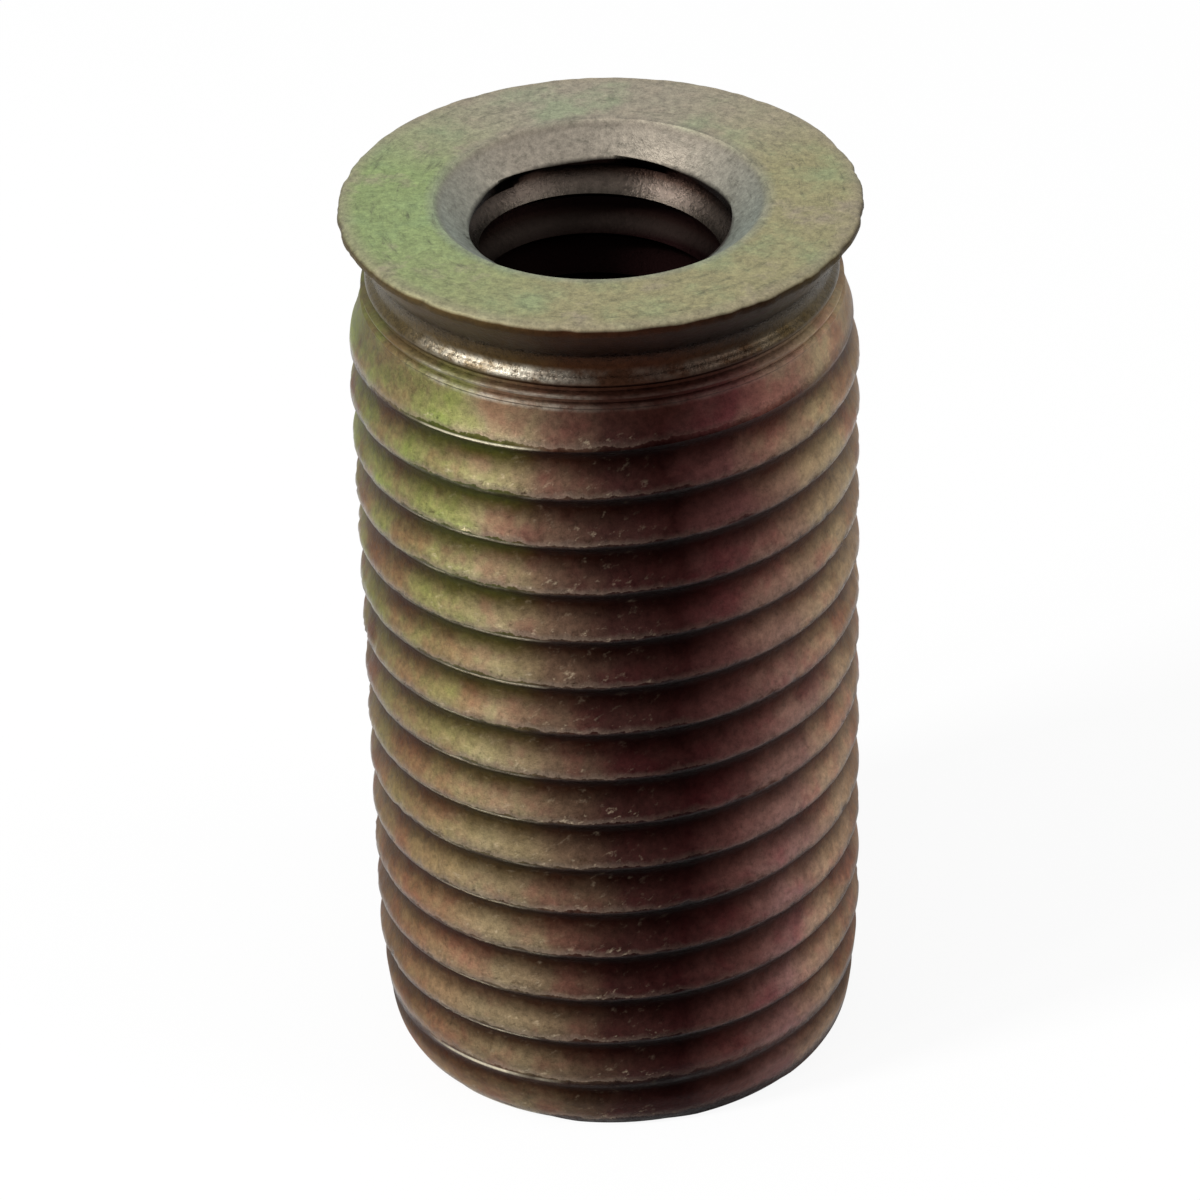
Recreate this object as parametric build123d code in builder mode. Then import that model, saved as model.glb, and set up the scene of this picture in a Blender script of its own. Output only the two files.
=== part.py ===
from build123d import *
import os

# Threaded bushing: a steel sleeve turned from bar, threaded outside and inside.
# It stands on its lower end, with the thin collar on top. The axis is Z, the
# foot lies at Z = 0 and the front faces -Y. Sizes are in millimetres.

# Overall
length = 26.5

# External thread, M14 x 1.5, right hand. The outside is turned to its crest.
outer_major = 14.0

# Internal thread, M8 x 1.25, right hand. The bore is drilled to its crest.
inner_major = 8.0
inner_depth = 0.675

# Collar
collar_overhang = 0.1
collar_rim = 0.3
collar_edge_break = 0.12
collar_cone_height = 0.95

# Undercut neck, then the rounded foot of the undercut
neck_depth = 0.65
neck_height = 0.6
ledge_depth = 0.55
ledge_fall = 0.25

# Run-in from the undercut to the full thread
ridge_height = 0.65
ridge_depth = 0.42
shoulder_height = 0.95
shoulder_depth = 0.1
run_in_height = 0.8

# Foot: a slow taper, then a round corner
foot_taper_height = 2.2
foot_taper = 0.22
foot_corner_height = 0.95
foot_corner_inset = 0.5
foot_corner_bulge = 0.06

# Countersinks at the two mouths of the bore
top_sink_diameter = 9.0
top_sink_depth = 0.95
foot_sink_diameter = 8.4
foot_sink_depth = 0.6

thread_radius = outer_major / 2
bore_radius = inner_major / 2 - inner_depth
collar_radius = thread_radius + collar_overhang
neck_radius = thread_radius - neck_depth
ledge_radius = thread_radius - ledge_depth
ridge_radius = thread_radius - ridge_depth
shoulder_radius = thread_radius - shoulder_depth
taper_radius = thread_radius - foot_taper
foot_face_radius = thread_radius - foot_corner_inset

# Heights of the turned steps, from the collar down
rim_bottom = length - collar_rim
neck_top = rim_bottom - collar_cone_height
neck_bottom = neck_top - neck_height
ledge_bottom = neck_bottom - ledge_fall
ridge_bottom = ledge_bottom - ridge_height
shoulder_bottom = ridge_bottom - shoulder_height
full_thread_top = shoulder_bottom - run_in_height

# Heights of the foot, from the floor up
foot_corner_top = foot_corner_height
foot_taper_top = foot_corner_top + foot_taper_height

with BuildPart() as threaded_bushing:
    # The turned sleeve, drawn as half its section
    with BuildSketch(Plane.XZ):
        with BuildLine():
            corner_bottom = (foot_face_radius, 0)
            corner_top = (taper_radius, foot_corner_top)
            corner_middle = (
                (foot_face_radius + taper_radius) / 2 + foot_corner_bulge,
                foot_corner_top / 2 - foot_corner_bulge,
            )
            Line((bore_radius, foot_sink_depth), (foot_sink_diameter / 2, 0))
            Line((foot_sink_diameter / 2, 0), corner_bottom)
            ThreePointArc(corner_bottom, corner_middle, corner_top)
            Polyline(
                corner_top,
                (thread_radius, foot_taper_top),
                (thread_radius, full_thread_top),
                (shoulder_radius, shoulder_bottom),
                (ridge_radius, ridge_bottom),
                (ledge_radius, ledge_bottom),
                (neck_radius, neck_bottom),
                (neck_radius, neck_top),
                (collar_radius, rim_bottom),
                (collar_radius, length - collar_edge_break),
                (collar_radius - collar_edge_break, length),
                (top_sink_diameter / 2, length),
                (bore_radius, length - top_sink_depth),
                (bore_radius, foot_sink_depth),
            )
        make_face()
    revolve(axis=Axis.Z)

threaded_bushing.part.label = "threaded_bushing"

os.makedirs("parts", exist_ok=True)
export_step(threaded_bushing.part, "parts/threaded_bushing.step")
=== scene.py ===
import math

import bpy
from mathutils import Matrix, Vector


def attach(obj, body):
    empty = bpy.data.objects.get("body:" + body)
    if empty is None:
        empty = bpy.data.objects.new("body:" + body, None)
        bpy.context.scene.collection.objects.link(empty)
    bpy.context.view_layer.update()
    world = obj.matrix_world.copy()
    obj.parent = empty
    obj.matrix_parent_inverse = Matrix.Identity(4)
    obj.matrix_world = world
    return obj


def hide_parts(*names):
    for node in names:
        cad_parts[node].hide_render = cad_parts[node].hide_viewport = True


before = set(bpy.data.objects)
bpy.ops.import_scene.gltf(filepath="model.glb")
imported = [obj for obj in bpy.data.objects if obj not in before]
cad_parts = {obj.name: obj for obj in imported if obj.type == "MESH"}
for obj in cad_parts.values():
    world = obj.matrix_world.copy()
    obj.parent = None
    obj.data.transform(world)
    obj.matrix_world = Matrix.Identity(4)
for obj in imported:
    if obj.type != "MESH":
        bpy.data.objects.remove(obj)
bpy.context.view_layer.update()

# ---------------------------------------------------------------------------
# The bushing: one sleeve turned from steel bar. A lathe leaves the collar, the
# undercut neck and the rounded foot, and a die and a tap cut the two threads.
# It stands on its foot with its axis upright. Sizes are in millimetres.

LENGTH = 26.5
THREAD_RADIUS = 7.0
COLLAR_RADIUS = 7.1
COLLAR_RIM = 0.3
COLLAR_BREAK = 0.12
CONE_HEIGHT = 0.95
NECK_RADIUS = 6.35
NECK_HEIGHT = 0.6
LEDGE_RADIUS = 6.45
LEDGE_FALL = 0.25
RIDGE_RADIUS = 6.58
RIDGE_HEIGHT = 0.65
SHOULDER_RADIUS = 6.9
SHOULDER_HEIGHT = 0.95
RUN_IN_HEIGHT = 0.8
FOOT_RADIUS = 6.5
FOOT_CORNER = 0.95
FOOT_TAPER = 0.22
FOOT_TAPER_HEIGHT = 2.2
TOP_SINK_RADIUS = 4.5
TOP_SINK_DEPTH = 0.95
FOOT_SINK_RADIUS = 4.2
FOOT_SINK_DEPTH = 0.6
OUTER_PITCH = 1.5
OUTER_DEPTH = 0.3
OUTER_FRONT_EDGE = LENGTH - 3.7
BORE_RADIUS = 3.325
INNER_PITCH = 1.25
INNER_DEPTH = 0.6
INNER_FRONT_EDGE = LENGTH - 2.33
CREST_WEAR = 0.16
COLUMNS = 256

rim_bottom = LENGTH - COLLAR_RIM
neck_top = rim_bottom - CONE_HEIGHT
neck_bottom = neck_top - NECK_HEIGHT
ledge_bottom = neck_bottom - LEDGE_FALL
ridge_bottom = ledge_bottom - RIDGE_HEIGHT
shoulder_bottom = ridge_bottom - SHOULDER_HEIGHT
full_thread_top = shoulder_bottom - RUN_IN_HEIGHT


def put(tree, kind, settings=(), links=()):
    """Adds one node with its settings and links, and returns it."""
    made = tree.nodes.new(kind)
    for name, value in dict(settings).items():
        setattr(made, name, value)
    for key, value in dict(links).items():
        socket = made.inputs[key]
        if isinstance(value, bpy.types.NodeSocket):
            tree.links.new(value, socket)
        elif isinstance(value, bpy.types.Node):
            tree.links.new(value.outputs[0], socket)
        else:
            socket.default_value = value
    return made


# One thread zone is a grid whose rows climb with the helix, wrapped round the
# axis and clipped between two level rings. The thread form is cut by the
# turned outline, so the crests run out in the neck and on the rounded foot.
def thread_zone(name, outline, side, slope_share, slope_curve):
    tree = bpy.data.node_groups.new(name, "GeometryNodeTree")
    face = tree.interface
    for label, kind in (
        ("Columns", "NodeSocketInt"), ("Rows per turn", "NodeSocketInt"), ("Turns", "NodeSocketInt"),
        ("Pitch", "NodeSocketFloat"), ("Crest radius", "NodeSocketFloat"), ("Depth", "NodeSocketFloat"),
        ("Start", "NodeSocketFloat"), ("Bottom", "NodeSocketFloat"), ("Top", "NodeSocketFloat"),
        ("Face radius", "NodeSocketFloat"), ("Wear", "NodeSocketFloat"),
    ):
        if label == "Face radius" and side < 0:
            continue
        face.new_socket(name=label, in_out="INPUT", socket_type=kind)
    face.new_socket(name="Geometry", in_out="OUTPUT", socket_type="NodeSocketGeometry")
    given = put(tree, "NodeGroupInput").outputs

    # the flat grid: one column more than the turn needs, and whole turns of rows
    columns = put(tree, "ShaderNodeMath", {"operation": "ADD"}, {0: given["Columns"], 1: 1.0})
    row_steps = put(tree, "ShaderNodeMath", {"operation": "MULTIPLY"},
                    {0: given["Rows per turn"], 1: given["Turns"]})
    rows = put(tree, "ShaderNodeMath", {"operation": "ADD"}, {0: row_steps, 1: 1.0})
    grid = put(tree, "GeometryNodeMeshGrid", {},
               {"Size X": 1.0, "Size Y": 1.0, "Vertices X": columns, "Vertices Y": rows})
    flat = put(tree, "ShaderNodeSeparateXYZ", {}, {0: put(tree, "GeometryNodeInputPosition")})
    around = put(tree, "ShaderNodeMath", {"operation": "ADD"}, {0: flat.outputs["X"], 1: 0.5})
    up = put(tree, "ShaderNodeMath", {"operation": "ADD"}, {0: flat.outputs["Y"], 1: 0.5})

    # height of each point, climbing one pitch a turn
    rise = put(tree, "ShaderNodeMath", {"operation": "MULTIPLY"}, {0: given["Turns"], 1: given["Pitch"]})
    row_height = put(tree, "ShaderNodeMath", {"operation": "MULTIPLY_ADD"}, {0: up, 1: rise, 2: given["Start"]})
    climb = put(tree, "ShaderNodeMath", {"operation": "MULTIPLY"}, {0: around, 1: given["Pitch"]})
    free_height = put(tree, "ShaderNodeMath", {"operation": "ADD"}, {0: row_height, 1: climb})
    height = put(tree, "ShaderNodeClamp", {}, {0: free_height, 1: given["Bottom"], 2: given["Top"]})

    # share of a pitch above the lower edge of the crest, from the clipped height
    from_start = put(tree, "ShaderNodeMath", {"operation": "SUBTRACT"}, {0: height, 1: given["Start"]})
    unwound = put(tree, "ShaderNodeMath", {"operation": "SUBTRACT"}, {0: from_start, 1: climb})
    turns = put(tree, "ShaderNodeMath", {"operation": "DIVIDE"}, {0: unwound, 1: given["Pitch"]})
    nudged = put(tree, "ShaderNodeMath", {"operation": "ADD"}, {0: turns, 1: 0.0005})
    part = put(tree, "ShaderNodeMath", {"operation": "FRACT"}, {0: nudged})

    # a worn thread: a long hollow slope from the crest up to the root, then a short steep flank
    long_run = put(tree, "ShaderNodeMath", {"operation": "DIVIDE"}, {0: part, 1: slope_share})
    long_slope = put(tree, "ShaderNodeMath", {"operation": "POWER"}, {0: long_run, 1: slope_curve})
    short_run = put(tree, "ShaderNodeMath", {"operation": "SUBTRACT"}, {0: 1.0, 1: part})
    short_flank = put(tree, "ShaderNodeMath", {"operation": "DIVIDE"}, {0: short_run, 1: 1.0 - slope_share})
    nearer_flank = put(tree, "ShaderNodeMath", {"operation": "MINIMUM"}, {0: long_slope, 1: short_flank})
    share = put(tree, "ShaderNodeMapRange", {"interpolation_type": "SMOOTHSTEP"},
                {0: nearer_flank, 1: 0.0, 2: 1.0, 3: 0.0, 4: 1.0})
    cut = put(tree, "ShaderNodeMath", {"operation": "MULTIPLY"}, {0: share, 1: given["Depth"]})
    if side < 0:
        at_mouth = put(tree, "ShaderNodeMapRange", {},
                       {0: height, 1: LENGTH - 0.8, 2: LENGTH - 1.0, 3: 0.0, 4: 1.0})
        cut = put(tree, "ShaderNodeMath", {"operation": "MULTIPLY"}, {0: cut, 1: at_mouth.outputs[0]})
    form = put(tree, "ShaderNodeMath", {"operation": "MULTIPLY_ADD"},
               {0: cut, 1: -side, 2: given["Crest radius"]})

    # torn and dented crests: the die drags the metal, handling nicks it
    angle = put(tree, "ShaderNodeMath", {"operation": "MULTIPLY_ADD"},
                {0: around, 1: math.tau, 2: -math.pi / 2})
    cosine = put(tree, "ShaderNodeMath", {"operation": "COSINE"}, {0: angle})
    sine = put(tree, "ShaderNodeMath", {"operation": "SINE"}, {0: angle})
    smooth_place = put(tree, "ShaderNodeCombineXYZ", {}, {0: cosine, 1: sine, 2: 0.0})
    scaled_place = put(tree, "ShaderNodeVectorMath", {"operation": "SCALE"}, {0: smooth_place, "Scale": 7.0})
    place = put(tree, "ShaderNodeVectorMath", {"operation": "ADD"},
                {0: scaled_place, 1: put(tree, "ShaderNodeCombineXYZ", {}, {2: height})})
    tears = put(tree, "ShaderNodeTexNoise", {},
                {"Vector": place, "Scale": 1.6, "Detail": 3.0, "Roughness": 0.7})
    dents = put(tree, "ShaderNodeTexNoise", {}, {"Vector": place, "Scale": 0.45, "Detail": 1.0})
    torn = put(tree, "ShaderNodeMapRange", {}, {0: tears.outputs[0], 1: 0.5, 2: 0.75, 3: 0.0, 4: 1.0})
    dented = put(tree, "ShaderNodeMapRange", {}, {0: dents.outputs[0], 1: 0.45, 2: 0.7, 3: 0.25, 4: 1.0})
    worn = put(tree, "ShaderNodeMath", {"operation": "MULTIPLY"}, {0: torn.outputs[0], 1: dented.outputs[0]})
    near_crest = put(tree, "ShaderNodeMapRange", {}, {0: cut, 1: 0.0, 2: 0.2, 3: 1.0, 4: 0.0})
    loss = put(tree, "ShaderNodeMath", {"operation": "MULTIPLY"}, {0: worn, 1: near_crest.outputs[0]})
    deep = put(tree, "ShaderNodeMath", {"operation": "MULTIPLY"}, {0: loss, 1: given["Wear"]})
    radius = put(tree, "ShaderNodeMath", {"operation": "MULTIPLY_ADD"}, {0: deep, 1: -side, 2: form})

    # the turned outline, one straight run at a time
    for low, low_radius, high, high_radius in outline:
        run = put(tree, "ShaderNodeMapRange", {"clamp": False},
                  {0: height, 1: low, 2: high, 3: low_radius, 4: high_radius})
        pick = "SMOOTH_MIN" if side > 0 else "MAXIMUM"
        radius = put(tree, "ShaderNodeMath", {"operation": pick}, {0: radius, 1: run, 2: 0.05})

    # outside, rows left below the bottom ring walk inward over the flat foot
    final = radius
    if side > 0:
        below = put(tree, "ShaderNodeMath", {"operation": "SUBTRACT"}, {0: given["Bottom"], 1: free_height})
        walked = put(tree, "ShaderNodeMath", {"operation": "MAXIMUM"}, {0: below, 1: 0.0})
        nearer = put(tree, "ShaderNodeMath", {"operation": "MULTIPLY_ADD"}, {0: walked, 1: -2.0, 2: radius})
        final = put(tree, "ShaderNodeMath", {"operation": "MAXIMUM"}, {0: nearer, 1: given["Face radius"]})

    # wrap it round the axis in metres and close the seam
    x = put(tree, "ShaderNodeMath", {"operation": "MULTIPLY"}, {0: cosine, 1: final})
    y = put(tree, "ShaderNodeMath", {"operation": "MULTIPLY"}, {0: sine, 1: final})
    point = put(tree, "ShaderNodeCombineXYZ", {}, {0: x, 1: y, 2: height})
    metres = put(tree, "ShaderNodeVectorMath", {"operation": "SCALE"}, {0: point, "Scale": 0.001})
    wrapped = put(tree, "GeometryNodeSetPosition", {}, {"Geometry": grid, "Position": metres})
    put(tree, "NodeGroupOutput", {}, {0: wrapped})
    return tree


outer_outline = [
    (0.0, FOOT_RADIUS, 0.2, FOOT_RADIUS + 0.12),
    (0.2, FOOT_RADIUS + 0.12, 0.45, FOOT_RADIUS + 0.2),
    (0.45, FOOT_RADIUS + 0.2, FOOT_CORNER, THREAD_RADIUS - FOOT_TAPER),
    (FOOT_CORNER, THREAD_RADIUS - FOOT_TAPER, FOOT_CORNER + FOOT_TAPER_HEIGHT, THREAD_RADIUS),
    (full_thread_top, THREAD_RADIUS, shoulder_bottom, SHOULDER_RADIUS),
    (shoulder_bottom, SHOULDER_RADIUS, ridge_bottom, RIDGE_RADIUS),
]
inner_outline = [
    (LENGTH - TOP_SINK_DEPTH, BORE_RADIUS, LENGTH, TOP_SINK_RADIUS),
    (0.0, FOOT_SINK_RADIUS, FOOT_SINK_DEPTH, BORE_RADIUS),
]
outer_tree = thread_zone("Outside thread", outer_outline, 1.0, 0.7, 1.0)
inner_tree = thread_zone("Bore thread", inner_outline, -1.0, 0.7, 0.8)

# The sleeve joins both thread zones to the plain turned ones: the top face with
# the collar, its cone and the neck above, and the flat foot below.
sleeve_tree = bpy.data.node_groups.new("Turned sleeve", "GeometryNodeTree")
face = sleeve_tree.interface
face.new_socket(name="Columns", in_out="INPUT", socket_type="NodeSocketInt")
face.new_socket(name="Wear", in_out="INPUT", socket_type="NodeSocketFloat")
face.new_socket(name="Finish", in_out="INPUT", socket_type="NodeSocketMaterial")
face.new_socket(name="Geometry", in_out="OUTPUT", socket_type="NodeSocketGeometry")
given = put(sleeve_tree, "NodeGroupInput").outputs
outer_below = math.ceil(OUTER_FRONT_EDGE / OUTER_PITCH) + 2
outer_turns = outer_below + 2
outer = put(sleeve_tree, "GeometryNodeGroup", {"node_tree": outer_tree}, {
    "Columns": given["Columns"], "Rows per turn": 12, "Turns": outer_turns, "Pitch": OUTER_PITCH,
    "Crest radius": THREAD_RADIUS, "Depth": OUTER_DEPTH,
    "Start": OUTER_FRONT_EDGE - outer_below * OUTER_PITCH, "Bottom": 0.0, "Top": ridge_bottom,
    "Face radius": FOOT_SINK_RADIUS, "Wear": given["Wear"]})
inner_below = math.ceil(INNER_FRONT_EDGE / INNER_PITCH) + 1
inner_turns = inner_below + 2
inner = put(sleeve_tree, "GeometryNodeGroup", {"node_tree": inner_tree}, {
    "Columns": given["Columns"], "Rows per turn": 6, "Turns": inner_turns, "Pitch": INNER_PITCH,
    "Crest radius": BORE_RADIUS, "Depth": INNER_DEPTH,
    "Start": INNER_FRONT_EDGE - inner_below * INNER_PITCH, "Bottom": 0.0, "Top": LENGTH,
    "Wear": 0.0})
inner_flipped = put(sleeve_tree, "GeometryNodeFlipFaces", {}, {0: inner})

# rings of the plain turned zone, from the neck over the collar to the countersink
rings = [
    # lower ridge
    (RIDGE_RADIUS, ridge_bottom), (RIDGE_RADIUS + 0.02, ridge_bottom + 0.05),
    (RIDGE_RADIUS - 0.03, ridge_bottom + 0.1), (RIDGE_RADIUS - 0.13, ridge_bottom + 0.15),
    (RIDGE_RADIUS - 0.14, ridge_bottom + 0.23),
    # upper ridge
    (RIDGE_RADIUS - 0.02, ridge_bottom + 0.3), (RIDGE_RADIUS - 0.01, ridge_bottom + 0.36),
    (RIDGE_RADIUS - 0.07, ridge_bottom + 0.41), (RIDGE_RADIUS - 0.2, ridge_bottom + 0.46),
    (RIDGE_RADIUS - 0.21, ridge_bottom + 0.54),
    # rounded ledge at the foot of the undercut, then the neck
    (LEDGE_RADIUS, ledge_bottom), (LEDGE_RADIUS, ledge_bottom + 0.06),
    (LEDGE_RADIUS - 0.04, ledge_bottom + 0.13),
    (LEDGE_RADIUS - 0.1, ledge_bottom + 0.19), (LEDGE_RADIUS - 0.17, ledge_bottom + 0.24),
    (NECK_RADIUS - 0.1, neck_bottom + 0.08), (NECK_RADIUS - 0.1, neck_bottom + 0.2),
    (NECK_RADIUS - 0.08, neck_top - 0.12),
    # cone and thin rim of the collar, then the top face
    (NECK_RADIUS + 0.04, neck_top + 0.03), (NECK_RADIUS + 0.26, neck_top + 0.34),
    (NECK_RADIUS + 0.52, neck_top + 0.67), (COLLAR_RADIUS - 0.05, rim_bottom - 0.04),
    (COLLAR_RADIUS, rim_bottom + 0.03), (COLLAR_RADIUS, LENGTH - 0.16),
    (COLLAR_RADIUS - 0.02, LENGTH - 0.1), (COLLAR_RADIUS - 0.06, LENGTH - 0.05),
    (COLLAR_RADIUS - COLLAR_BREAK, LENGTH - 0.02), (COLLAR_RADIUS - 0.2, LENGTH),
    (COLLAR_RADIUS - 0.6, LENGTH), (5.8, LENGTH), (5.1, LENGTH), (TOP_SINK_RADIUS + 0.08, LENGTH),
    (TOP_SINK_RADIUS, LENGTH),
]
columns = put(sleeve_tree, "ShaderNodeMath", {"operation": "ADD"}, {0: given["Columns"], 1: 1.0})
lathe = put(sleeve_tree, "GeometryNodeMeshGrid", {},
            {"Size X": 1.0, "Size Y": 1.0, "Vertices X": columns, "Vertices Y": len(rings)})
flat = put(sleeve_tree, "ShaderNodeSeparateXYZ", {}, {0: put(sleeve_tree, "GeometryNodeInputPosition")})
ring_step = put(sleeve_tree, "ShaderNodeMath", {"operation": "MULTIPLY_ADD"},
                {0: flat.outputs["Y"], 1: len(rings) - 1.0, 2: (len(rings) - 1.0) / 2})
ring_number = put(sleeve_tree, "ShaderNodeMath", {"operation": "ROUND"}, {0: ring_step})
ring_sizes = []
for which in (0, 1):
    switch = put(sleeve_tree, "GeometryNodeIndexSwitch", {"data_type": "FLOAT"})
    while len(switch.index_switch_items) < len(rings):
        switch.index_switch_items.new()
    for number, ring in enumerate(rings):
        switch.inputs[number + 1].default_value = ring[which]
    sleeve_tree.links.new(ring_number.outputs[0], switch.inputs[0])
    ring_sizes.append(switch)
turn = put(sleeve_tree, "ShaderNodeMath", {"operation": "MULTIPLY_ADD"},
           {0: flat.outputs["X"], 1: math.tau, 2: math.pi / 2})
cosine = put(sleeve_tree, "ShaderNodeMath", {"operation": "COSINE"}, {0: turn})
sine = put(sleeve_tree, "ShaderNodeMath", {"operation": "SINE"}, {0: turn})

# the collar's thin edge is a little battered
compass = put(sleeve_tree, "ShaderNodeCombineXYZ", {}, {0: cosine, 1: sine})
rim_noise = put(sleeve_tree, "ShaderNodeTexNoise", {},
                {"Vector": compass, "Scale": 9.0, "Detail": 4.0, "Roughness": 0.6})
rim_loss = put(sleeve_tree, "ShaderNodeMapRange", {},
               {0: rim_noise.outputs[0], 1: 0.45, 2: 0.8, 3: 0.0, 4: 0.12})
at_rim = put(sleeve_tree, "ShaderNodeMapRange", {},
             {0: ring_sizes[0], 1: COLLAR_RADIUS - 0.3, 2: COLLAR_RADIUS, 3: 0.0, 4: 1.0})
rim_cut = put(sleeve_tree, "ShaderNodeMath", {"operation": "MULTIPLY"},
              {0: rim_loss.outputs[0], 1: at_rim.outputs[0]})
ring_radius = put(sleeve_tree, "ShaderNodeMath", {"operation": "SUBTRACT"}, {0: ring_sizes[0], 1: rim_cut})
x = put(sleeve_tree, "ShaderNodeMath", {"operation": "MULTIPLY"}, {0: cosine, 1: ring_radius})
y = put(sleeve_tree, "ShaderNodeMath", {"operation": "MULTIPLY"}, {0: sine, 1: ring_radius})
point = put(sleeve_tree, "ShaderNodeCombineXYZ", {}, {0: x, 1: y, 2: ring_sizes[1]})
metres = put(sleeve_tree, "ShaderNodeVectorMath", {"operation": "SCALE"}, {0: point, "Scale": 0.001})
lathed = put(sleeve_tree, "GeometryNodeSetPosition", {}, {"Geometry": lathe, "Position": metres})

joined = put(sleeve_tree, "GeometryNodeJoinGeometry")
for zone in (lathed, inner_flipped, outer):
    sleeve_tree.links.new(zone.outputs[0], joined.inputs[0])
welded = put(sleeve_tree, "GeometryNodeMergeByDistance", {}, {"Geometry": joined, "Distance": 0.000003})
edge_angle = put(sleeve_tree, "GeometryNodeInputMeshEdgeAngle")
crisp = put(sleeve_tree, "FunctionNodeCompare", {"data_type": "FLOAT", "operation": "LESS_THAN"},
            {0: edge_angle.outputs[0], 1: math.radians(38)})
smooth = put(sleeve_tree, "GeometryNodeSetShadeSmooth", {"domain": "FACE"},
             {"Geometry": welded, "Shade Smooth": True})
edged = put(sleeve_tree, "GeometryNodeSetShadeSmooth", {"domain": "EDGE"},
            {"Geometry": smooth, "Shade Smooth": crisp})
realized = put(sleeve_tree, "GeometryNodeRealizeInstances", {}, {0: edged})
finished = put(sleeve_tree, "GeometryNodeSetMaterial", {}, {"Geometry": realized, "Material": given["Finish"]})
put(sleeve_tree, "NodeGroupOutput", {}, {0: finished})


# Yellow chromated zinc plate over turned steel: a thin iridescent film that
# wanders from straw and olive through green to pink and maroon, matt where it
# is thick. Light and shade are painted on it too: a dark reflection across the
# front, highlights on the crest edges and the undercut, and shade in the thread
# roots, under the collar and down the bore.
def linear(code):
    """An sRGB hex colour as the linear colour Blender mixes."""
    parts = [int(code[i:i + 2], 16) / 255 for i in (1, 3, 5)]
    return (*[c / 12.92 if c <= 0.04045 else ((c + 0.055) / 1.055) ** 2.4 for c in parts], 1.0)


plate = bpy.data.materials.new("yellow_chromated_zinc")
plate.use_nodes = True
skin = plate.node_tree
skin.nodes.clear()
where = put(skin, "ShaderNodeTexCoord").outputs["Object"]
place = put(skin, "ShaderNodeVectorMath", {"operation": "SCALE"}, {0: where, "Scale": 1000.0})
axes = put(skin, "ShaderNodeSeparateXYZ", {}, {0: place})
across = put(skin, "ShaderNodeCombineXYZ", {}, {0: axes.outputs["X"], 1: axes.outputs["Y"]})
radius = put(skin, "ShaderNodeVectorMath", {"operation": "LENGTH"}, {0: across}).outputs["Value"]
height = axes.outputs["Z"]
side = put(skin, "ShaderNodeMath", {"operation": "DIVIDE"}, {0: axes.outputs["X"], 1: radius})
rearward = put(skin, "ShaderNodeMath", {"operation": "DIVIDE"}, {0: axes.outputs["Y"], 1: radius})

# share of a pitch above each crest edge, so that colour can follow the thread
turned = put(skin, "ShaderNodeMath", {"operation": "ARCTAN2"}, {0: axes.outputs["Y"], 1: axes.outputs["X"]})
from_front = put(skin, "ShaderNodeMath", {"operation": "MULTIPLY_ADD"}, {0: turned, 1: -1 / math.tau, 2: -0.25})
pitches = put(skin, "ShaderNodeMath", {"operation": "MULTIPLY_ADD"},
              {0: height, 1: 1 / OUTER_PITCH, 2: -OUTER_FRONT_EDGE / OUTER_PITCH})
wound = put(skin, "ShaderNodeMath", {"operation": "ADD"}, {0: pitches, 1: from_front})
phase = put(skin, "ShaderNodeMath", {"operation": "FRACT"}, {0: wound})

# slow wander of the film, a few millimetres across
wander = put(skin, "ShaderNodeTexNoise", {}, {"Vector": place, "Scale": 0.3, "Detail": 4.0, "Roughness": 0.65})
drift = put(skin, "ShaderNodeMapRange", {}, {0: wander.outputs[0], 1: 0.3, 2: 0.7, 3: -0.045, 4: 0.045})
spread = put(skin, "ShaderNodeMath", {"operation": "MULTIPLY_ADD"}, {0: side, 1: 0.5, 2: 0.5})
track = put(skin, "ShaderNodeMath", {"operation": "ADD"}, {0: spread, 1: drift.outputs[0]})
# the colours run across the view from left to right; the almost black middle of each run, on the turns facing
# the front, is a painted dark reflection
film_and_painted_reflection = []
for stops in (
    # upper turns: brown edge, olive, straw, brown, almost black (painted dark reflection), plum, brown, straw,
    # brown edge
    ((0.0, "#654E35"), (0.06, "#7D7550"), (0.15, "#7A754E"), (0.25, "#887B5F"),
     (0.37, "#624E40"), (0.5, "#35211E"), (0.63, "#261110"), (0.75, "#4B2F2D"),
     (0.86, "#725C4C"), (0.95, "#958566"), (1.0, "#7A6248")),
    # lower turns: the same run, browner at the left and pinker at the right
    ((0.0, "#5F442C"), (0.06, "#836B4C"), (0.15, "#866E53"), (0.25, "#796B53"),
     (0.37, "#584839"), (0.5, "#341F1C"), (0.63, "#261010"), (0.75, "#4E322E"),
     (0.86, "#775854"), (0.95, "#9D836B"), (1.0, "#795C43")),
):
    ramp = put(skin, "ShaderNodeValToRGB", {}, {0: track})
    for number, (at, code) in enumerate(stops):
        stop = ramp.color_ramp.elements[number] if number < 2 else ramp.color_ramp.elements.new(at)
        stop.position = at
        stop.color = linear(code)
    film_and_painted_reflection.append(ramp)
rise = put(skin, "ShaderNodeMapRange", {}, {0: height, 1: 6.0, 2: 22.0, 3: 0.0, 4: 1.0})
colour = put(skin, "ShaderNodeMix", {"data_type": "RGBA"},
             {0: rise.outputs[0], 6: film_and_painted_reflection[1], 7: film_and_painted_reflection[0]}).outputs[2]

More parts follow.
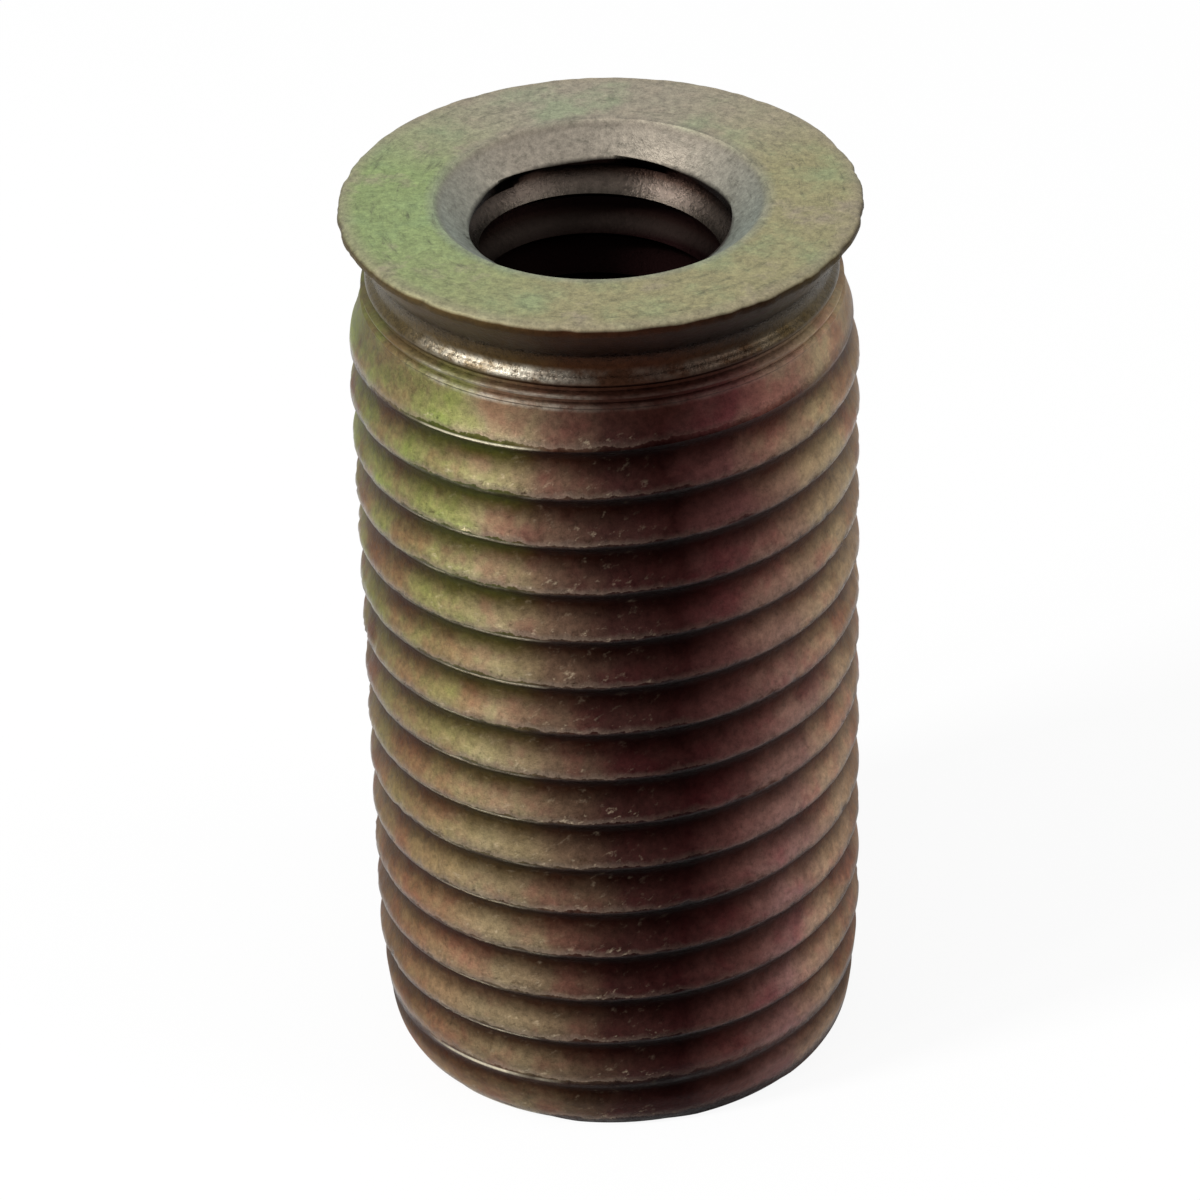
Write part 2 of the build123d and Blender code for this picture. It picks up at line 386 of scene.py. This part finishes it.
# round the back the film is more even, mottled olive and rose brown, and the painted dark reflection of the
# front fades out
behind = put(skin, "ShaderNodeMapRange", {"interpolation_type": "SMOOTHSTEP"},
             {0: rearward, 1: 0.05, 2: 0.6, 3: 0.0, 4: 0.65})
mottle = put(skin, "ShaderNodeValToRGB", {}, {0: wander})
for number, (at, code) in enumerate(((0.35, "#5C3E38"), (0.5, "#7A644A"), (0.62, "#8A8458"))):
    stop = mottle.color_ramp.elements[number] if number < 2 else mottle.color_ramp.elements.new(at)
    stop.position = at
    stop.color = linear(code)
colour = put(skin, "ShaderNodeMix", {"data_type": "RGBA"},
             {0: behind.outputs[0], 6: colour, 7: mottle}).outputs[2]

# clouds of the film: green ones high on the left, pink ones all round
clouds = put(skin, "ShaderNodeTexNoise", {}, {"Vector": place, "Scale": 0.42, "Detail": 4.0, "Roughness": 0.65})
leftward = put(skin, "ShaderNodeMapRange", {}, {0: side, 1: -0.25, 2: -0.65, 3: 0.0, 4: 1.0})
green = put(skin, "ShaderNodeMapRange", {}, {0: clouds.outputs[0], 1: 0.46, 2: 0.62, 3: 0.0, 4: 0.75})
green_left = put(skin, "ShaderNodeMath", {"operation": "MULTIPLY"},
                 {0: green.outputs[0], 1: leftward.outputs[0]})
green_high = put(skin, "ShaderNodeMath", {"operation": "MULTIPLY"}, {0: green_left, 1: rise.outputs[0]})
colour = put(skin, "ShaderNodeMix", {"data_type": "RGBA"},
             {0: green_high, 6: colour, 7: linear("#7C8A46")}).outputs[2]
pink = put(skin, "ShaderNodeMapRange", {}, {0: clouds.outputs[0], 1: 0.5, 2: 0.36, 3: 0.0, 4: 0.5})
colour = put(skin, "ShaderNodeMix", {"data_type": "RGBA", "blend_type": "SOFT_LIGHT"},
             {0: pink.outputs[0], 6: colour, 7: linear("#B4708C")}).outputs[2]

# each turn is painted darker from its crest edge up to the root above it: painted shade in the roots
on_thread = put(skin, "ShaderNodeMapRange", {},
                {0: height, 1: ridge_bottom + 0.1, 2: ridge_bottom - 1.2, 3: 0.0, 4: 1.0})
ragged = put(skin, "ShaderNodeTexNoise", {}, {"Vector": place, "Scale": 1.3, "Detail": 5.0, "Roughness": 0.7})
shifted = put(skin, "ShaderNodeMapRange", {}, {0: ragged.outputs[0], 1: 0.3, 2: 0.7, 3: -0.07, 4: 0.07})
frayed = put(skin, "ShaderNodeMath", {"operation": "ADD"}, {0: phase, 1: shifted.outputs[0]})
frayed = put(skin, "ShaderNodeMath", {"operation": "FRACT"}, {0: frayed})
shade = put(skin, "ShaderNodeValToRGB", {}, {0: frayed})
crest_to_root = ((0.0, "#D2D0CC"), (0.1, "#FFFFFF"), (0.27, "#F4F0EC"), (0.48, "#AEA6A0"),
                 (0.66, "#765E54"), (0.92, "#704E42"), (1.0, "#C8C4BE"))
for number, (at, code) in enumerate(crest_to_root):
    stop = shade.color_ramp.elements[number] if number < 2 else shade.color_ramp.elements.new(at)
    stop.position = at
    stop.color = linear(code)
colour = put(skin, "ShaderNodeMix", {"data_type": "RGBA", "blend_type": "MULTIPLY"},
             {0: on_thread.outputs[0], 6: colour, 7: shade}).outputs[2]
# a pale strip along each crest edge, strongest on the left where the light falls: partly worn metal, partly a
# painted highlight
edge = put(skin, "ShaderNodeMapRange", {}, {0: frayed, 1: 0.12, 2: 0.0, 3: 0.0, 4: 0.35})
lit_side = put(skin, "ShaderNodeMapRange", {}, {0: side, 1: 0.2, 2: -0.3, 3: 0.15, 4: 1.0})
edge_there = put(skin, "ShaderNodeMath", {"operation": "MULTIPLY"},
                 {0: edge.outputs[0], 1: lit_side.outputs[0]})
worn_and_lit_edge = put(skin, "ShaderNodeMath", {"operation": "MULTIPLY"}, {0: edge_there, 1: on_thread.outputs[0]})
colour = put(skin, "ShaderNodeMix", {"data_type": "RGBA"},
             {0: worn_and_lit_edge, 6: colour, 7: linear("#A08E7E")}).outputs[2]

# deep olive painted into the roots on the left of the front half: painted shade in the recesses, tinted olive
on_left = put(skin, "ShaderNodeMapRange", {"interpolation_type": "SMOOTHSTEP"},
              {0: side, 1: -0.25, 2: -0.45, 3: 0.0, 4: 1.0})
off_edge = put(skin, "ShaderNodeMapRange", {"interpolation_type": "SMOOTHSTEP"},
               {0: side, 1: -0.85, 2: -0.65, 3: 0.0, 4: 1.0})
at_root = put(skin, "ShaderNodeMapRange", {}, {0: frayed, 1: 0.45, 2: 0.75, 3: 0.0, 4: 0.8})
facing = put(skin, "ShaderNodeMath", {"operation": "LESS_THAN"}, {0: rearward, 1: 0.0})
olive = on_thread.outputs[0]
for gate in (on_left, off_edge, at_root, facing, rise):
    olive = put(skin, "ShaderNodeMath", {"operation": "MULTIPLY"}, {0: olive, 1: gate.outputs[0]}).outputs[0]
colour = put(skin, "ShaderNodeMix", {"data_type": "RGBA"},
             {0: olive, 6: colour, 7: linear("#3C4214")}).outputs[2]

# torn metal: flecks dragged slantwise by the die, bright on one side and dark on the other
slant = put(skin, "ShaderNodeCombineXYZ", {}, {
    0: put(skin, "ShaderNodeMath", {"operation": "MULTIPLY_ADD"}, {0: side, 1: 9.0, 2: height}),
    1: put(skin, "ShaderNodeMath", {"operation": "MULTIPLY_ADD"}, {0: side, 1: -3.0, 2: pitches}),
    2: 0.0})
dragged = put(skin, "ShaderNodeVectorMath", {"operation": "MULTIPLY"}, {0: slant, 1: (1.6, 5.5, 1.0)})
torn = put(skin, "ShaderNodeTexNoise", {}, {"Vector": dragged, "Scale": 1.0, "Detail": 4.0, "Roughness": 0.7})
middle = put(skin, "ShaderNodeMapRange", {"interpolation_type": "SMOOTHSTEP"},
             {0: side, 1: 0.3, 2: -0.1, 3: 0.0, 4: 1.0})
on_crest = put(skin, "ShaderNodeMapRange", {}, {0: frayed, 1: 0.35, 2: 0.1, 3: 0.15, 4: 1.0})
patchy = put(skin, "ShaderNodeMapRange", {}, {0: clouds.outputs[0], 1: 0.4, 2: 0.55, 3: 0.35, 4: 1.0})
damage = on_thread.outputs[0]
for gate in (middle, off_edge, on_crest, facing, patchy):
    damage = put(skin, "ShaderNodeMath", {"operation": "MULTIPLY"}, {0: damage, 1: gate.outputs[0]}).outputs[0]
fleck_light = put(skin, "ShaderNodeMapRange", {}, {0: torn.outputs[0], 1: 0.58, 2: 0.72, 3: 0.0, 4: 0.8})
fleck_dark = put(skin, "ShaderNodeMapRange", {}, {0: torn.outputs[0], 1: 0.43, 2: 0.3, 3: 0.0, 4: 0.85})
light_here = put(skin, "ShaderNodeMath", {"operation": "MULTIPLY"}, {0: fleck_light.outputs[0], 1: damage})
dark_here = put(skin, "ShaderNodeMath", {"operation": "MULTIPLY"}, {0: fleck_dark.outputs[0], 1: damage})
colour = put(skin, "ShaderNodeMix", {"data_type": "RGBA"},
             {0: light_here, 6: colour, 7: linear("#B6A68C")}).outputs[2]
colour = put(skin, "ShaderNodeMix", {"data_type": "RGBA"},
             {0: dark_here, 6: colour, 7: linear("#2A1C10")}).outputs[2]

# a bright line just under each crest edge on the lit left front: a painted highlight where the fillet catches
# the lamp; the same line is made less rough below
line = put(skin, "ShaderNodeMapRange", {"interpolation_type": "SMOOTHSTEP"},
           {0: phase, 1: 0.86, 2: 0.91, 3: 0.0, 4: 1.0})
line_end = put(skin, "ShaderNodeMapRange", {"interpolation_type": "SMOOTHSTEP"},
               {0: phase, 1: 0.97, 2: 0.93, 3: 0.0, 4: 1.0})
drawn_out = put(skin, "ShaderNodeVectorMath", {"operation": "MULTIPLY"}, {0: place, 1: (0.35, 0.35, 0.7)})
along = put(skin, "ShaderNodeTexNoise", {}, {"Vector": drawn_out, "Scale": 1.0, "Detail": 3.0})
lit = put(skin, "ShaderNodeMapRange", {}, {0: along.outputs[0], 1: 0.42, 2: 0.6, 3: 0.0, 4: 1.0})
ends = put(skin, "ShaderNodeMapRange", {"interpolation_type": "SMOOTHSTEP"},
           {0: side, 1: -0.22, 2: -0.42, 3: 0.0, 4: 1.0})
glint_line = on_thread.outputs[0]
for gate in (line, line_end, lit, ends, off_edge, facing):
    glint_line = put(skin, "ShaderNodeMath", {"operation": "MULTIPLY"}, {0: glint_line, 1: gate.outputs[0]}).outputs[0]
colour = put(skin, "ShaderNodeMix", {"data_type": "RGBA"},
             {0: glint_line, 6: colour, 7: linear("#D6CDB4")}).outputs[2]

# the neck and the collar's underside: painted shade, brown-black, lighter and more olive at the left where the
# light falls
neck_zone = put(skin, "ShaderNodeMapRange", {},
                {0: height, 1: ledge_bottom - 0.3, 2: ledge_bottom + 0.1, 3: 0.0, 4: 1.0})
neck_shade = put(skin, "ShaderNodeValToRGB", {}, {0: spread})
neck_left_to_right = ((0.0, "#544A30"), (0.12, "#4C3E26"), (0.3, "#3C2E1A"), (0.42, "#301C10"),
                      (0.6, "#28150D"), (0.8, "#22160C"), (0.95, "#40351F"))
for number, (at, code) in enumerate(neck_left_to_right):
    stop = neck_shade.color_ramp.elements[number] if number < 2 else neck_shade.color_ramp.elements.new(at)
    stop.position = at
    stop.color = linear(code)
# the run-in below the neck is painted darker up towards the collar, less at the right: painted shade under the
# collar
run_in = put(skin, "ShaderNodeMapRange", {},
             {0: height, 1: shoulder_bottom + 0.1, 2: ledge_bottom, 3: 0.0, 4: 0.65})
off_right = put(skin, "ShaderNodeMapRange", {}, {0: side, 1: 0.45, 2: 0.75, 3: 1.0, 4: 0.1})
run_in_shade = put(skin, "ShaderNodeMath", {"operation": "MULTIPLY"},
                  {0: run_in.outputs[0], 1: off_right.outputs[0]})
colour = put(skin, "ShaderNodeMix", {"data_type": "RGBA"},
             {0: run_in_shade, 6: colour, 7: neck_shade}).outputs[2]
colour = put(skin, "ShaderNodeMix", {"data_type": "RGBA"},
             {0: neck_zone.outputs[0], 6: colour, 7: neck_shade}).outputs[2]

# a painted highlight on the foot of the undercut and the two ridges below it, on the lit left side
ledge_lit_side = put(skin, "ShaderNodeMapRange", {"interpolation_type": "SMOOTHSTEP"},
                {0: side, 1: 0.05, 2: -0.4, 3: 0.1, 4: 1.0})
ledge_up = put(skin, "ShaderNodeMapRange", {"interpolation_type": "SMOOTHSTEP"},
               {0: height, 1: ledge_bottom - 0.05, 2: ledge_bottom + 0.1, 3: 0.0, 4: 0.6})
ledge_down = put(skin, "ShaderNodeMapRange", {"interpolation_type": "SMOOTHSTEP"},
                 {0: height, 1: neck_bottom + 0.2, 2: neck_bottom, 3: 0.0, 4: 1.0})
ridge_up = put(skin, "ShaderNodeMapRange", {"interpolation_type": "SMOOTHSTEP"},
               {0: radius, 1: RIDGE_RADIUS - 0.09, 2: RIDGE_RADIUS - 0.01, 3: 0.0, 4: 0.5})
ridge_low = put(skin, "ShaderNodeMapRange", {"interpolation_type": "SMOOTHSTEP"},
                {0: height, 1: ridge_bottom - 0.1, 2: ridge_bottom, 3: 0.0, 4: 1.0})
ridge_high = put(skin, "ShaderNodeMath", {"operation": "LESS_THAN"}, {0: height, 1: ledge_bottom})
patches = put(skin, "ShaderNodeMapRange", {}, {0: ragged.outputs[0], 1: 0.4, 2: 0.58, 3: 0.15, 4: 1.0})
bright_ledge = put(skin, "ShaderNodeMath", {"operation": "MULTIPLY"},
                   {0: ledge_up.outputs[0], 1: ledge_down.outputs[0]})
bright_ridge = put(skin, "ShaderNodeMath", {"operation": "MULTIPLY"},
                   {0: ridge_up.outputs[0], 1: ridge_low.outputs[0]})
bright_ridge = put(skin, "ShaderNodeMath", {"operation": "MULTIPLY"}, {0: bright_ridge, 1: ridge_high})
bright = put(skin, "ShaderNodeMath", {"operation": "MAXIMUM"}, {0: bright_ledge, 1: bright_ridge})
for gate in (ledge_lit_side, off_edge, patches):
    bright = put(skin, "ShaderNodeMath", {"operation": "MULTIPLY"}, {0: bright, 1: gate.outputs[0]})
colour = put(skin, "ShaderNodeMix", {"data_type": "RGBA"},
             {0: bright, 6: colour, 7: linear("#9A968A")}).outputs[2]

# the top face: straw, greener to the left, pink-grey at the back and the right
to_left = put(skin, "ShaderNodeMapRange", {}, {0: side, 1: -0.2, 2: -0.95, 3: 0.0, 4: 0.85})
to_back = put(skin, "ShaderNodeMapRange", {}, {0: rearward, 1: 0.3, 2: 0.95, 3: 0.0, 4: 0.85})
top_noise = put(skin, "ShaderNodeTexNoise", {},
                {"Vector": place, "Scale": 0.45, "Detail": 5.0, "Roughness": 0.65})
teal = put(skin, "ShaderNodeMapRange", {}, {0: top_noise.outputs[0], 1: 0.5, 2: 0.68, 3: 0.0, 4: 0.4})
rosy = put(skin, "ShaderNodeMapRange", {}, {0: top_noise.outputs[0], 1: 0.46, 2: 0.34, 3: 0.0, 4: 0.7})
top = put(skin, "ShaderNodeMix", {"data_type": "RGBA"},
          {0: to_left.outputs[0], 6: linear("#989270"), 7: linear("#8C9E6C")}).outputs[2]
top = put(skin, "ShaderNodeMix", {"data_type": "RGBA"},
          {0: to_back.outputs[0], 6: top, 7: linear("#9C9486")}).outputs[2]
top = put(skin, "ShaderNodeMix", {"data_type": "RGBA"},
          {0: teal.outputs[0], 6: top, 7: linear("#88A07A")}).outputs[2]
top = put(skin, "ShaderNodeMix", {"data_type": "RGBA"},
          {0: rosy.outputs[0], 6: top, 7: linear("#9C9080")}).outputs[2]

# facing marks: dark arcs round the axis, about a millimetre long and a quarter of one wide
compass = put(skin, "ShaderNodeCombineXYZ", {}, {0: side, 1: rearward, 2: radius})
stretched = put(skin, "ShaderNodeVectorMath", {"operation": "MULTIPLY"}, {0: compass, 1: (5.0, 5.0, 4.5)})
arcs = put(skin, "ShaderNodeTexNoise", {},
           {"Vector": stretched, "Scale": 1.0, "Detail": 5.0, "Roughness": 0.75})
arc_dark = put(skin, "ShaderNodeMapRange", {}, {0: arcs.outputs[0], 1: 0.45, 2: 0.28, 3: 0.0, 4: 0.7})
top = put(skin, "ShaderNodeMix", {"data_type": "RGBA"},
          {0: arc_dark.outputs[0], 6: top, 7: linear("#5A5C4C")}).outputs[2]
rim = put(skin, "ShaderNodeMapRange", {},
          {0: radius, 1: COLLAR_RADIUS - 0.55, 2: COLLAR_RADIUS - 0.15, 3: 0.0, 4: 0.6})
top = put(skin, "ShaderNodeMix", {"data_type": "RGBA"},
          {0: rim.outputs[0], 6: top, 7: linear("#948A76")}).outputs[2]
top_zone = put(skin, "ShaderNodeMapRange", {}, {0: height, 1: LENGTH - 0.13, 2: LENGTH - 0.02, 3: 0.0, 4: 1.0})
colour = put(skin, "ShaderNodeMix", {"data_type": "RGBA"},
             {0: top_zone.outputs[0], 6: colour, 7: top}).outputs[2]

# countersink: grey plate, warmer at the back, with a soft edge
inside = put(skin, "ShaderNodeMapRange", {},
             {0: radius, 1: TOP_SINK_RADIUS + 0.3, 2: TOP_SINK_RADIUS - 0.25, 3: 0.0, 4: 1.0})
sink_back = put(skin, "ShaderNodeMapRange", {}, {0: rearward, 1: -0.3, 2: 0.8, 3: 0.0, 4: 1.0})
sink = put(skin, "ShaderNodeMix", {"data_type": "RGBA"},
           {0: sink_back.outputs[0], 6: linear("#868C82"), 7: linear("#888074")}).outputs[2]
sink = put(skin, "ShaderNodeMix", {"data_type": "RGBA"},
           {0: arc_dark.outputs[0], 6: sink, 7: linear("#5C5A50")}).outputs[2]
colour = put(skin, "ShaderNodeMix", {"data_type": "RGBA"},
             {0: inside.outputs[0], 6: colour, 7: sink}).outputs[2]

# bore: painted shade, black-brown in the thread roots with greyer crests that die away within three turns,
# going black further down
below_mouth = put(skin, "ShaderNodeMapRange", {}, {0: height, 1: LENGTH - 0.7, 2: LENGTH - 0.8, 3: 0.0, 4: 1.0})
in_bore = put(skin, "ShaderNodeMath", {"operation": "LESS_THAN"}, {0: radius, 1: TOP_SINK_RADIUS})
bore_zone = put(skin, "ShaderNodeMath", {"operation": "MULTIPLY"}, {0: in_bore, 1: below_mouth.outputs[0]})
bore_pitches = put(skin, "ShaderNodeMath", {"operation": "MULTIPLY_ADD"},
                   {0: height, 1: 1 / INNER_PITCH, 2: -INNER_FRONT_EDGE / INNER_PITCH})
bore_wound = put(skin, "ShaderNodeMath", {"operation": "ADD"}, {0: bore_pitches, 1: from_front})
bore_phase = put(skin, "ShaderNodeMath", {"operation": "FRACT"}, {0: bore_wound})
bore_shade_ramp = put(skin, "ShaderNodeValToRGB", {}, {0: bore_phase})
bore_crest_to_root = ((0.0, "#3E3832"), (0.2, "#443C36"), (0.4, "#1E1612"), (0.5, "#0A0504"), (0.9, "#0A0504"))
for number, (at, code) in enumerate(bore_crest_to_root):
    stop = bore_shade_ramp.color_ramp.elements[number] if number < 2 else bore_shade_ramp.color_ramp.elements.new(at)
    stop.position = at
    stop.color = linear(code)
deeper_shade = put(skin, "ShaderNodeMapRange", {}, {0: height, 1: LENGTH - 1.5, 2: LENGTH - 3.0, 3: 0.0, 4: 1.0})
bore_colour = put(skin, "ShaderNodeMix", {"data_type": "RGBA"},
                  {0: deeper_shade.outputs[0], 6: bore_shade_ramp, 7: linear("#0C0505")}).outputs[2]
colour = put(skin, "ShaderNodeMix", {"data_type": "RGBA"}, {0: bore_zone, 6: colour, 7: bore_colour}).outputs[2]

# grain of the plating: drawn about a fifth of a millimetre across, coarser than the real one
grain = put(skin, "ShaderNodeTexNoise", {}, {"Vector": place, "Scale": 5.0, "Detail": 4.0, "Roughness": 0.85})
grain_tone = put(skin, "ShaderNodeMapRange", {}, {0: grain.outputs[0], 1: 0.3, 2: 0.7, 3: 0.6, 4: 1.38})
colour = put(skin, "ShaderNodeMix", {"data_type": "RGBA", "blend_type": "MULTIPLY"},
             {0: 1.0, 6: colour, 7: grain_tone.outputs[0]}).outputs[2]

# polish: the crest edges and the foot of the undercut shine, the rest is satin
past_edge = put(skin, "ShaderNodeMath", {"operation": "PINGPONG"}, {0: frayed, 1: 0.5})
polished = put(skin, "ShaderNodeMapRange", {}, {0: past_edge, 1: 0.2, 2: 0.06, 3: 0.0, 4: 0.24})
polish_here = put(skin, "ShaderNodeMath", {"operation": "MULTIPLY"},
                  {0: polished.outputs[0], 1: on_thread.outputs[0]})
under_rim = put(skin, "ShaderNodeMapRange", {}, {0: height, 1: neck_top, 2: rim_bottom, 3: 0.26, 4: 0.0})
neck_polish = put(skin, "ShaderNodeMath", {"operation": "MULTIPLY"},
                  {0: neck_zone.outputs[0], 1: under_rim.outputs[0]})
satin = put(skin, "ShaderNodeMapRange", {}, {0: grain.outputs[0], 1: 0.3, 2: 0.7, 3: 0.46, 4: 0.62})
less = put(skin, "ShaderNodeMath", {"operation": "SUBTRACT"}, {0: satin.outputs[0], 1: polish_here})
less = put(skin, "ShaderNodeMath", {"operation": "MULTIPLY_ADD"}, {0: glint_line, 1: -0.2, 2: less})
less = put(skin, "ShaderNodeMath", {"operation": "SUBTRACT"}, {0: less, 1: neck_polish})
dull_rim = put(skin, "ShaderNodeMapRange", {},
               {0: height, 1: rim_bottom - 0.1, 2: rim_bottom + 0.05, 3: 0.0, 4: 0.05})
roughness = put(skin, "ShaderNodeMath", {"operation": "ADD"}, {0: less, 1: dull_rim.outputs[0]})
lumps = put(skin, "ShaderNodeMath", {"operation": "MULTIPLY_ADD"},
            {0: ragged.outputs[0], 1: 0.8, 2: grain.outputs[0]})
bump = put(skin, "ShaderNodeBump", {}, {"Strength": 0.35, "Distance": 0.00006, "Height": lumps})
metal = put(skin, "ShaderNodeBsdfPrincipled", {},
            {"Base Color": colour, "Roughness": roughness, "Normal": bump})
metal.inputs["Metallic"].default_value = 1.0
put(skin, "ShaderNodeOutputMaterial", {}, {0: metal})

# grow the sleeve and keep it as a plain mesh
seed = bpy.data.objects.new("sleeve_seed", bpy.data.meshes.new("sleeve_seed"))
bpy.context.scene.collection.objects.link(seed)
grower = seed.modifiers.new("turned_sleeve", "NODES")
grower.node_group = sleeve_tree
sockets = {item.name: item.identifier for item in sleeve_tree.interface.items_tree if item.in_out == "INPUT"}
grower[sockets["Columns"]] = COLUMNS
grower[sockets["Wear"]] = CREST_WEAR
grower[sockets["Finish"]] = plate
grown = seed.evaluated_get(bpy.context.evaluated_depsgraph_get())
sleeve = bpy.data.objects.new("turned_sleeve", bpy.data.meshes.new_from_object(grown))
bpy.context.scene.collection.objects.link(sleeve)
seed.modifiers.clear()
bpy.data.objects.remove(seed)
sleeve.data.materials.clear()
sleeve.data.materials.append(plate)
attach(sleeve, "root")
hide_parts("threaded_bushing")

# ---------------------------------------------------------------------------
# The table it stands on: a plain pale sheet that runs out of view.

table = bpy.data.objects.new("floor", bpy.data.meshes.new("floor"))
table.data.from_pydata([(-2, -2, 0), (2, -2, 0), (2, 2, 0), (-2, 2, 0)], [], [(0, 1, 2, 3)])
bpy.context.scene.collection.objects.link(table)
paper = bpy.data.materials.new("white_paper")
paper.use_nodes = True
sheet = paper.node_tree
sheet.nodes.clear()
matt = put(sheet, "ShaderNodeBsdfDiffuse", {}, {0: linear("#F4F4F4")})
white = put(sheet, "ShaderNodeEmission", {}, {0: (1.0, 1.0, 1.0, 1.0), 1: 1.0})
ray = put(sheet, "ShaderNodeLightPath")
straight = put(sheet, "ShaderNodeMath", {"operation": "MULTIPLY"}, {0: ray.outputs["Is Camera Ray"], 1: 0.9})
blend = put(sheet, "ShaderNodeMixShader", {}, {0: straight, 1: matt, 2: white})
put(sheet, "ShaderNodeOutputMaterial", {}, {0: blend})
table.data.materials.append(paper)

# ---------------------------------------------------------------------------
# Plain studio light: a soft key from the upper left, a small low lamp on the
# same side, a weaker fill from the right, and a world that is white behind.

world = bpy.data.worlds.new("studio")
bpy.context.scene.world = world
world.use_nodes = True
air = world.node_tree
air.nodes.clear()
ray = put(air, "ShaderNodeLightPath")
seen = put(air, "ShaderNodeMath", {"operation": "MAXIMUM"},
           {0: ray.outputs["Is Camera Ray"], 1: ray.outputs["Is Glossy Ray"]})
seen = put(air, "ShaderNodeMath", {"operation": "MAXIMUM"}, {0: seen, 1: ray.outputs["Is Transmission Ray"]})
level = put(air, "ShaderNodeMapRange", {}, {0: seen, 1: 0.0, 2: 1.0, 3: 0.6, 4: 1.0})
glow = put(air, "ShaderNodeBackground", {}, {0: (1.0, 1.0, 1.0, 1.0), 1: level.outputs[0]})
put(air, "ShaderNodeOutputWorld", {}, {0: glow})

middle = Vector((0.0, 0.0, LENGTH / 2000))
for name, place, size, power in (
    ("key_lamp", (-0.19, -0.09, 0.2), 0.04, 0.5),
    ("low_lamp", (-0.17, -0.14, 0.07), 0.02, 0.12),
    ("fill_lamp", (0.2, -0.06, 0.12), 0.1, 0.15),
):
    light = bpy.data.lights.new(name, "AREA")
    light.size = size
    light.energy = power
    lamp = bpy.data.objects.new(name, light)
    bpy.context.scene.collection.objects.link(lamp)
    lamp.location = place
    lamp.rotation_euler = (Vector(place) - middle).to_track_quat("Z", "Y").to_euler()

# ---------------------------------------------------------------------------
# The camera: a long lens above the front, tipped down and leaning slightly.

YAW = math.radians(-0.1355)
DOWN = math.radians(32.84)
LEAN = math.radians(-1.62)
eye = Vector((0.0, -0.1299, LENGTH / 1000 + 0.07093))
ahead = Vector((math.sin(YAW) * math.cos(DOWN), math.cos(YAW) * math.cos(DOWN), -math.sin(DOWN)))
right = ahead.cross(Vector((0, 0, 1))).normalized()
above = right.cross(ahead)
lens_right = math.cos(LEAN) * right + math.sin(LEAN) * above
lens_up = math.cos(LEAN) * above - math.sin(LEAN) * right
view = bpy.data.cameras.new("camera")
view.lens = 164.5
view.sensor_width = 36.0
view.clip_start = 0.01
camera = bpy.data.objects.new("camera", view)
bpy.context.scene.collection.objects.link(camera)
camera.matrix_world = Matrix.Translation(eye) @ Matrix((lens_right, lens_up, -ahead)).transposed().to_4x4()
bpy.context.scene.camera = camera
bpy.context.scene.view_settings.view_transform = "Standard"
